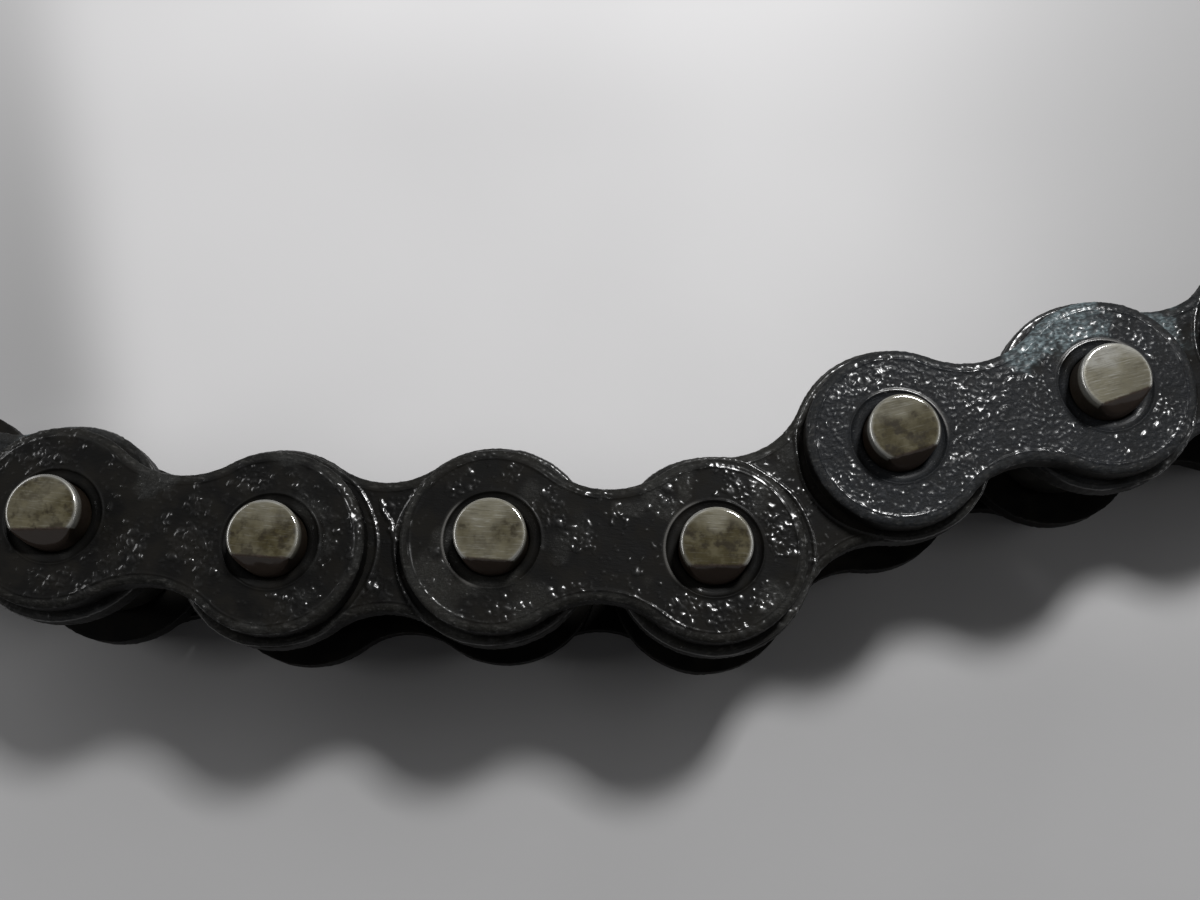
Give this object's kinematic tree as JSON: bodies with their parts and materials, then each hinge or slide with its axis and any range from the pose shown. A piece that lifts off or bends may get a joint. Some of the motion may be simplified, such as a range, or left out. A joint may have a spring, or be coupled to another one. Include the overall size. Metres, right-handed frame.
{
  "type": "roller chain",
  "caption": "Half-inch pitch roller chain strand with inner links at both ends: plates, pins, pressed bushings and free-turning rollers, hinged at each pin.",
  "frame": {"origin": "On the surface that the strand lies on, under the centre of its bounding box: z = 0 is the lower pin ends.", "axes": "+Z along every pin axis, up from the surface; +X along the strand, from its left free end to its right free end; +Y across the strand in the plane in which it bends."},
  "size_m": [0.1224, 0.027, 0.017],
  "materials": {
    "link_plate": "dark heat-treated carbon steel, oily and gritty",
    "pin": "worn ground steel with tan stains",
    "bushing": "oiled bare steel",
    "roller": "oiled dark steel, polished by the sprocket"
  },
  "bodies": {
    "inner_link_1": {"inner_plate_bottom_1": "link_plate", "inner_plate_top_1": "link_plate", "bushing_left_1": "bushing", "bushing_right_1": "bushing"},
    "roller_left_1": {"roller_left_1": "roller"},
    "roller_right_1": {"roller_right_1": "roller"},
    "outer_link_1": {"outer_plate_bottom_1": "link_plate", "outer_plate_top_1": "link_plate", "pin_left_1": "pin", "pin_right_1": "pin"},
    "inner_link_2": {"inner_plate_bottom_2": "link_plate", "inner_plate_top_2": "link_plate", "bushing_left_2": "bushing", "bushing_right_2": "bushing"},
    "roller_left_2": {"roller_left_2": "roller"},
    "roller_right_2": {"roller_right_2": "roller"},
    "outer_link_2": {"outer_plate_bottom_2": "link_plate", "outer_plate_top_2": "link_plate", "pin_left_2": "pin", "pin_right_2": "pin"},
    "inner_link_3": {"inner_plate_bottom_3": "link_plate", "inner_plate_top_3": "link_plate", "bushing_left_3": "bushing", "bushing_right_3": "bushing"},
    "roller_left_3": {"roller_left_3": "roller"},
    "roller_right_3": {"roller_right_3": "roller"},
    "outer_link_3": {"outer_plate_bottom_3": "link_plate", "outer_plate_top_3": "link_plate", "pin_left_3": "pin", "pin_right_3": "pin"},
    "inner_link_4": {"inner_plate_bottom_4": "link_plate", "inner_plate_top_4": "link_plate", "bushing_left_4": "bushing", "bushing_right_4": "bushing"},
    "roller_left_4": {"roller_left_4": "roller"},
    "roller_right_4": {"roller_right_4": "roller"},
    "outer_link_4": {"outer_plate_bottom_4": "link_plate", "outer_plate_top_4": "link_plate", "pin_left_4": "pin", "pin_right_4": "pin"},
    "inner_link_5": {"inner_plate_bottom_5": "link_plate", "inner_plate_top_5": "link_plate", "bushing_left_5": "bushing", "bushing_right_5": "bushing"},
    "roller_left_5": {"roller_left_5": "roller"},
    "roller_right_5": {"roller_right_5": "roller"}
  },
  "joints": [
    {"name": "link_hinge_1", "type": "hinge", "parent": "outer_link_1", "child": "inner_link_1", "pos_m": [-0.04322, -0.00572, 0.009], "axis": [0, 0, -1], "range_deg": [-47.3, 24.7]},
    {"name": "link_hinge_2", "type": "hinge", "parent": "inner_link_2", "child": "outer_link_1", "pos_m": [-0.0306, -0.0072, 0.009], "axis": [0, 0, -1], "range_deg": [-43.2, 28.8]},
    {"name": "link_hinge_3", "type": "hinge", "parent": "outer_link_2", "child": "inner_link_2", "pos_m": [-0.01791, -0.00709, 0.009], "axis": [0, 0, -1], "range_deg": [-33.1, 38.9]},
    {"name": "link_hinge_4", "type": "hinge", "parent": "outer_link_2", "child": "inner_link_3", "pos_m": [-0.00522, -0.00762, 0.009], "axis": [0, 0, 1], "range_deg": [-69.9, 2.1]},
    {"name": "link_hinge_5", "type": "hinge", "parent": "inner_link_3", "child": "outer_link_3", "pos_m": [0.00561, -0.00099, 0.009], "axis": [0, 0, 1], "range_deg": [-18.6, 53.4]},
    {"name": "link_hinge_6", "type": "hinge", "parent": "outer_link_3", "child": "inner_link_4", "pos_m": [0.01793, 0.00211, 0.009], "axis": [0, 0, 1], "range_deg": [-38.9, 33.1]},
    {"name": "link_hinge_7", "type": "hinge", "parent": "inner_link_4", "child": "outer_link_4", "pos_m": [0.03008, 0.00582, 0.009], "axis": [0, 0, 1], "range_deg": [-27, 45]},
    {"name": "link_hinge_8", "type": "hinge", "parent": "outer_link_4", "child": "inner_link_5", "pos_m": [0.04265, 0.00759, 0.009], "axis": [0, 0, 1], "range_deg": [-22, 50]},
    {"name": "roller_spin_left_1", "type": "hinge", "parent": "inner_link_1", "child": "roller_left_1", "pos_m": [-0.0553, -0.00179, 0.009], "axis": [0, 0, 1], "continuous": true},
    {"name": "roller_spin_right_1", "type": "hinge", "parent": "inner_link_1", "child": "roller_right_1", "pos_m": [-0.04322, -0.00572, 0.009], "axis": [0, 0, 1], "continuous": true},
    {"name": "roller_spin_left_2", "type": "hinge", "parent": "inner_link_2", "child": "roller_left_2", "pos_m": [-0.0306, -0.0072, 0.009], "axis": [0, 0, 1], "continuous": true},
    {"name": "roller_spin_right_2", "type": "hinge", "parent": "inner_link_2", "child": "roller_right_2", "pos_m": [-0.01791, -0.00709, 0.009], "axis": [0, 0, 1], "continuous": true},
    {"name": "roller_spin_left_3", "type": "hinge", "parent": "inner_link_3", "child": "roller_left_3", "pos_m": [-0.00522, -0.00762, 0.009], "axis": [0, 0, 1], "continuous": true},
    {"name": "roller_spin_right_3", "type": "hinge", "parent": "inner_link_3", "child": "roller_right_3", "pos_m": [0.00561, -0.00099, 0.009], "axis": [0, 0, 1], "continuous": true},
    {"name": "roller_spin_left_4", "type": "hinge", "parent": "inner_link_4", "child": "roller_left_4", "pos_m": [0.01793, 0.00211, 0.009], "axis": [0, 0, 1], "continuous": true},
    {"name": "roller_spin_right_4", "type": "hinge", "parent": "inner_link_4", "child": "roller_right_4", "pos_m": [0.03008, 0.00582, 0.009], "axis": [0, 0, 1], "continuous": true},
    {"name": "roller_spin_left_5", "type": "hinge", "parent": "inner_link_5", "child": "roller_left_5", "pos_m": [0.04265, 0.00759, 0.009], "axis": [0, 0, 1], "continuous": true},
    {"name": "roller_spin_right_5", "type": "hinge", "parent": "inner_link_5", "child": "roller_right_5", "pos_m": [0.05528, 0.00626, 0.009], "axis": [0, 0, 1], "continuous": true}
  ]
}
